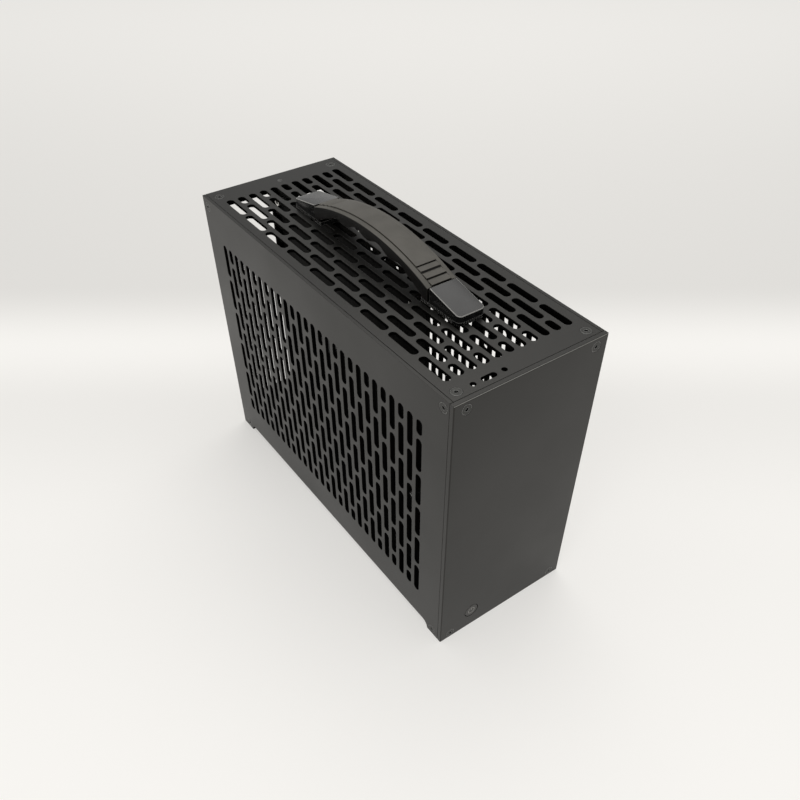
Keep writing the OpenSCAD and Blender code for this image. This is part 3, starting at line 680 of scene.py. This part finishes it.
@dataclass
class CarryHandle:
    """The flexible strap with its stepped ends, and the two covers over its tongues.

    Sizes are in millimetres. Heights are above the lid, and distances along Y are from the handle's middle.
    """

    lid: float
    half_length: float = 57.4
    width: float = 19.6
    rise: float = 20.6
    end_height: float = 10.25
    slices: int = 64
    rim_radius: float = 0.25
    grip_thickness: float = 6.1
    grip_wave: float = 1.35
    grip_pitch: float = 22.0
    grip_waves: float = 1.75
    heel_length: float = 6.5
    heel_height: float = 2.2
    toe_length: float = 4.0
    pad_half: float = 6.5
    pad_height: float = 0.6
    shoulder_drop: float = 0.45
    step_start: float = 43.25
    step_length: float = 4.75
    step_height: float = 0.8
    step_count: int = 3
    step_foot: float = 0.6
    riser: float = 0.04
    groove: float = 0.3
    groove_width: float = 0.35
    groove_wall: float = 0.05
    crown: float = 3.0
    shoulder: float = 8.4
    tongue_low: float = 2.3
    tongue_height: float = 2.0
    tongue_half: float = 6.5
    tongue_end: float = 71.9
    tongue_root: float = 3.0
    cover_half: float = 9.0
    cover_start: float = 58.5
    cover_end: float = 83.5
    cover_low: float = 2.0
    cover_in: float = 10.5
    cover_out: float = 5.5
    cover_corner: float = 2.8
    cover_rim: float = 0.35
    cover_wall: float = 1.5

    def arch(self, along: float) -> float:
        """Gives the height of the arch's circle above the lid.

        Args:
            along: Distance from the handle's middle.

        Returns:
            The height.
        """
        drop = self.rise - self.end_height
        radius = (self.half_length**2 + drop**2) / (2 * drop)
        return self.rise - radius + math.sqrt(radius**2 - along**2)

    def lift(self, along: float) -> float:
        """Gives the height of the raised middle or of a tread above the arch.

        Args:
            along: Distance from the handle's middle.

        Returns:
            The height, below zero in the groove at the foot of each riser.
        """
        past = along - self.step_start
        if past <= 0:
            return self.pad_height
        share = (past % self.step_length) / self.step_length
        foot = self.step_foot / self.step_length
        if share < foot:
            return -self.groove * (1 - share / foot)
        return self.step_height * share

    def top(self, across: float, along: float) -> float:
        """Gives the strap's upper surface.

        Args:
            across: Distance from the centre line.
            along: Distance from the handle's middle.

        Returns:
            The height above the lid.
        """
        height, near = self.arch(along), across - 1e-4
        if near <= self.pad_half:
            return height + self.lift(along)
        if near <= self.pad_half + self.groove_width:
            return height - self.groove
        slope = self.shoulder_drop / (self.width / 2 - self.pad_half)
        return height - slope * (across - self.pad_half)

    def underside(self, along: float) -> float:
        """Gives the strap's lower surface.

        Args:
            along: Distance from the handle's middle.

        Returns:
            The height above the lid.
        """
        grip_end = self.grip_pitch * self.grip_waves
        if along <= grip_end:
            wave = math.cos(2 * math.pi * along / self.grip_pitch)
            return self.arch(along) - self.grip_thickness - self.grip_wave * wave
        marks = [
            (grip_end, self.underside(grip_end)),
            (self.half_length - self.heel_length, self.tongue_low + self.heel_height),
            (self.half_length - self.toe_length, self.tongue_low),
            (self.half_length + 1, self.tongue_low),
        ]
        for (start, low), (stop, high) in zip(marks, marks[1:]):
            if along <= stop:
                share = (along - start) / (stop - start)
                return low + (high - low) * share
        return self.tongue_low

    def stations(self) -> list[float]:
        """Returns where the strap is cut along its length, on one side of the middle."""
        places = [i * self.half_length / self.slices for i in range(self.slices)]
        for step in range(self.step_count + 1):
            riser = self.step_start + step * self.step_length
            places += [riser, riser + self.riser]
            if step < self.step_count:
                places.append(riser + self.step_foot)
        places.append(self.grip_pitch * self.grip_waves)
        places += [self.half_length - self.heel_length, self.half_length - self.toe_length]
        return sorted(set(places))

    def strap(self) -> bpy.types.Object:
        """Shapes the strap from one block.

        Returns:
            The strap, riding on its body.
        """
        mesh = bmesh.new()
        bmesh.ops.create_cube(mesh, size=1.0)
        size = Vector((self.width, 2 * self.half_length, 1.0)) * MM
        bmesh.ops.scale(mesh, vec=size, verts=mesh.verts)
        along = [s * MM for s in self.stations()]
        cut_across(mesh, Vector((0, 1, 0)), [-s for s in along] + along)
        grooves = (self.pad_half, self.pad_half + self.groove_width)
        walls = [edge + step for edge in grooves for step in (0.0, self.groove_wall)]
        columns = [self.crown, *walls, self.shoulder]
        cut_across(mesh, Vector((1, 0, 0)), [0.0] + [s * c * MM for c in columns for s in (-1, 1)])
        for vert in mesh.verts:
            across, place = abs(vert.co.x) / MM, abs(vert.co.y) / MM
            height = self.top(across, place) if vert.co.z > 0 else self.underside(place)
            vert.co.z = (self.lid + height) * MM
        limit = self.width / 2 * MM - 1e-7
        rims = [
            e for e in mesh.edges
            if all(abs(v.co.x) > limit for v in e.verts) and e.calc_face_angle(0.0) > math.radians(40)
            and abs(e.verts[0].co.y - e.verts[1].co.y) > 1e-7
        ]
        soften(mesh, rims, self.rim_radius * MM, 3)
        self.add_tongues(mesh)
        piece = surface(mesh, "carry_strap", STRAP)
        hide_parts("handle_strap")
        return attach(piece, Body.HANDLE.value)

    def add_tongues(self, mesh: bmesh.types.BMesh) -> None:
        """Adds the flat tongue at each end, which reaches into the cover.

        Args:
            mesh: The strap's mesh.
        """
        length = self.tongue_end - self.half_length + self.tongue_root
        size = Vector((2 * self.tongue_half, length, self.tongue_height))
        height = self.lid + self.tongue_low + self.tongue_height / 2
        for end in End:
            made = bmesh.ops.create_cube(mesh, size=1.0)["verts"]
            bmesh.ops.scale(mesh, vec=size * MM, verts=made)
            centre = Vector((0, end.value * (self.tongue_end - length / 2), height))
            bmesh.ops.translate(mesh, vec=centre * MM, verts=made)

    def cover(self, end: End) -> bpy.types.Object:
        """Shapes one end cover, open towards the strap and underneath.

        Args:
            end: Which end it closes.

        Returns:
            The cover, riding on the case.
        """
        mesh = bmesh.new()
        bmesh.ops.create_cube(mesh, size=1.0)
        length = self.cover_end - self.cover_start
        bmesh.ops.scale(mesh, vec=Vector((2 * self.cover_half, length, 1.0)) * MM, verts=mesh.verts)
        bmesh.ops.translate(mesh, vec=Vector((0, self.cover_start + length / 2, 0)) * MM, verts=mesh.verts)
        for vert in mesh.verts:
            outer = vert.co.y > (self.cover_start + 1) * MM
            top = self.cover_out if outer else self.cover_in
            vert.co.z = (self.lid + (top if vert.co.z > 0 else self.cover_low)) * MM
        posts = [
            e for e in mesh.edges
            if abs(e.verts[0].co.z - e.verts[1].co.z) > 1e-6
            and all(v.co.y > (self.cover_end - 0.1) * MM for v in e.verts)
        ]
        soften(mesh, posts, self.cover_corner * MM, 8)
        hidden = [f for f in mesh.faces if f.normal.z < -0.9 or f.normal.y < -0.9]
        bmesh.ops.delete(mesh, geom=hidden, context="FACES")
        rim = [
            e for e in mesh.edges
            if len(e.link_faces) == 2 and e.calc_face_angle(0.0) > math.radians(50)
        ]
        # The rounded rim faces take the cap's painted edge highlight in full.
        layer = mesh.faces.layers.float.new(CAP.highlight_layer)
        for face in soften(mesh, rim, self.cover_rim * MM, 4):
            face[layer] = 1.0
        bmesh.ops.solidify(mesh, geom=list(mesh.faces), thickness=self.cover_wall * MM)
        if end is End.FRONT:
            bmesh.ops.rotate(mesh, cent=Vector(), matrix=Matrix.Rotation(math.pi, 3, "Z"), verts=mesh.verts)
        name = end.name.lower()
        piece = surface(mesh, f"{name}_end_cover", CAP)
        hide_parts(f"handle_{name}_cover")
        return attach(piece, Body.CASE.value)

    def build(self) -> list[bpy.types.Object]:
        """Makes the strap and both covers, and returns them."""
        return [self.strap(), self.cover(End.FRONT), self.cover(End.REAR)]


@dataclass
class CaseDressing:
    """Finishes for the pieces that are shown as the frame gives them."""

    nodes: dict[str, bpy.types.Object]

    def finish_for(self, node: str) -> Finish:
        """Chooses a piece's finish by its name.

        Args:
            node: The piece's name in the frame.

        Returns:
            The finish.
        """
        rules: list[tuple[Callable[[str], bool], Finish]] = [
            (lambda n: n == "power_button", self.button_finish()),
            (lambda n: n == "front_panel", FRONT),
            (lambda n: n in ("bottom_panel", "motherboard_tray", "slot_ledge"), INNER),
            (lambda n: n.endswith("_bracket"), INNER),
            (lambda n: n.endswith("_panel"), PANEL),
            (lambda n: n.endswith("_block"), BLOCK),
            (lambda n: n.endswith(("_screws", "_screw")), SCREW),
            (lambda n: n in ("motherboard_standoffs", "handle_washers", "handle_nuts"), PLATED),
            (lambda n: n == "switch_board", BOARD),
            (lambda n: n.startswith("handle_"), CAP),
        ]
        return next((finish for fits, finish in rules if fits(node)), SWITCH)

    def button_finish(self) -> MarkedCoating:
        """Returns the power button's finish, with the sign centred on the button."""
        low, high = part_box("power_button")
        centre = (low + high) / 2
        return MarkedCoating("coated_button", FRONT.colour, FRONT.roughness, centre=(centre.x, centre.z))

    def build(self) -> None:
        """Gives every piece of the frame its material."""
        for name, piece in sorted(self.nodes.items()):
            piece.data.materials.clear()
            piece.data.materials.append(self.finish_for(name).material())
            log.info("%s: %s", name, piece.data.materials[0].name)


@dataclass
class Studio:
    """The pale floor, the soft lights and the camera.

    The floor's tones, painted light and shade, are by distance in metres from the middle, away from the
    camera. The sky's tones are by the height of the direction, from 0 at the horizon to 1 overhead.
    """

    camera_place: Place = (-0.22843, -0.34063, 0.42318)
    camera_turn_deg: Place = (44.8185, 0.1111, -35.6284)
    lens_mm: float = 34.8905
    sensor_mm: float = 36.0
    shift: tuple[float, float] = (-0.0026, 0.0969)
    clip: tuple[float, float] = (0.01, 20.0)
    floor_half: float = 6.0
    floor_colour: Colour = (0.45, 0.443, 0.43)
    floor_tint: Colour = (1.0, 0.985, 0.955)
    tones: Marks = ((-0.25, 0.53), (-0.05, 0.5), (0.1, 0.43), (0.18, 0.5), (0.29, 0.32), (1.3, 0.44))
    sky_tint: Colour = (1.0, 0.995, 0.98)
    sky: Marks = ((0.0, 0.75), (0.12, 0.7), (0.35, 0.42), (0.6, 0.66), (0.85, 0.85), (1.0, 0.9))
    aim_height: float = 0.1
    lamp_place: Place = (0.5, 0.5, 1.4)
    lamp_size: float = 1.0
    lamp_power: float = 6.0
    lamp_colour: Colour = (1.0, 0.985, 0.96)
    rim_place: Place = (-0.9, -0.5, 1.1)
    rim_size: float = 0.3
    rim_power: float = 1.2
    rim_colour: Colour = (1.0, 0.99, 0.97)

    def camera(self) -> None:
        """Puts the camera where the photograph was taken from."""
        data = bpy.data.cameras.new("camera")
        data.lens, data.sensor_width = self.lens_mm, self.sensor_mm
        data.shift_x, data.shift_y = self.shift
        data.clip_start, data.clip_end = self.clip
        camera = bpy.data.objects.new("camera", data)
        camera.location = self.camera_place
        camera.rotation_euler = Euler([math.radians(a) for a in self.camera_turn_deg])
        bpy.context.scene.collection.objects.link(camera)
        bpy.context.scene.camera = camera

    def floor(self) -> None:
        """Makes the pale floor.

        The camera and reflections see painted light and shade in its tones, which rise and fall with
        distance as on a curved sheet of paper. The light that it throws back comes from one plain colour,
        which also takes the case's shadow.
        """
        mesh = bmesh.new()
        bmesh.ops.create_grid(mesh, x_segments=8, y_segments=8, size=self.floor_half)
        sheet = NodeSheet("pale_floor")
        shader = sheet.shader.inputs
        shader["Base Color"].default_value = (*self.floor_colour, 1.0)
        shader["Roughness"].default_value = 0.9
        shader["Specular IOR Level"].default_value = 0.0
        mapping = sheet.add("ShaderNodeMapping")
        mapping.inputs["Rotation"].default_value = (0, 0, -math.radians(self.camera_turn_deg[2]))
        sheet.feed(mapping.inputs["Vector"], sheet.place)
        away = sheet.axes(mapping.outputs["Vector"])["Y"]
        start, stop = self.tones[0][0], self.tones[-1][0]
        ramp = sheet.add("ShaderNodeValToRGB")
        ramp.color_ramp.interpolation = "EASE"
        fill_ramp(ramp, [((at - start) / (stop - start), tone) for at, tone in self.tones], self.floor_tint)
        sheet.feed(ramp.inputs["Fac"], sheet.between(away, start, stop, 0.0, 1.0))
        # The painted light and shade glow only for camera, glossy and transmission rays.
        rays = sheet.add("ShaderNodeLightPath").outputs
        seen = sheet.maths("MAXIMUM", rays["Is Camera Ray"], rays["Is Glossy Ray"])
        seen = sheet.maths("MAXIMUM", seen, rays["Is Transmission Ray"])
        sheet.feed(shader["Emission Color"], ramp.outputs["Color"])
        sheet.feed(shader["Emission Strength"], seen)
        data = bpy.data.meshes.new("floor")
        mesh.to_mesh(data)
        mesh.free()
        floor = bpy.data.objects.new("floor", data)
        bpy.context.scene.collection.objects.link(floor)
        data.materials.append(sheet.material)

    def lamp(self, name: str, place: Place, size: float, power: float, colour: Colour) -> None:
        """Adds one soft square lamp that faces the case.

        Args:
            name: The lamp's name.
            place: Where it hangs.
            size: Length of its side.
            power: Power in watts.
            colour: Its colour.
        """
        data = bpy.data.lights.new(name, "AREA")
        data.shape, data.size, data.energy, data.color = "SQUARE", size, power, colour
        lamp = bpy.data.objects.new(name, data)
        lamp.location = place
        aim = Vector((0, 0, self.aim_height)) - Vector(place)
        lamp.rotation_euler = aim.to_track_quat("-Z", "Y").to_euler()
        bpy.context.scene.collection.objects.link(lamp)

    def lights(self) -> None:
        """Lights the case from a soft sky, with a faint lamp for its shadow and one for its upper edges."""
        world = bpy.data.worlds.new("studio")
        bpy.context.scene.world = world
        world.use_nodes = True
        tree = world.node_tree
        split = tree.nodes.new("ShaderNodeSeparateXYZ")
        tree.links.new(tree.nodes.new("ShaderNodeTexCoord").outputs["Generated"], split.inputs["Vector"])
        ramp = tree.nodes.new("ShaderNodeValToRGB")
        fill_ramp(ramp, self.sky, self.sky_tint)
        tree.links.new(split.outputs["Z"], ramp.inputs["Fac"])
        tree.links.new(ramp.outputs["Color"], tree.nodes["Background"].inputs["Color"])
        self.lamp("overhead", self.lamp_place, self.lamp_size, self.lamp_power, self.lamp_colour)
        self.lamp("rim_light", self.rim_place, self.rim_size, self.rim_power, self.rim_colour)

    def build(self) -> None:
        """Makes the whole studio."""
        self.camera()
        self.floor()
        self.lights()
        bpy.context.scene.view_settings.view_transform = "Standard"


def main() -> None:
    """Builds the pieces in order."""
    logging.basicConfig(level=logging.INFO, format="%(name)s: %(message)s")
    CaseDressing(frame["nodes"]).build()
    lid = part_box("top_panel")[1].z / MM
    for piece in CarryHandle(lid).build():
        log.info("%s: %d faces", piece.name, len(piece.data.polygons))
    Studio().build()


if __name__ == "__main__":
    main()
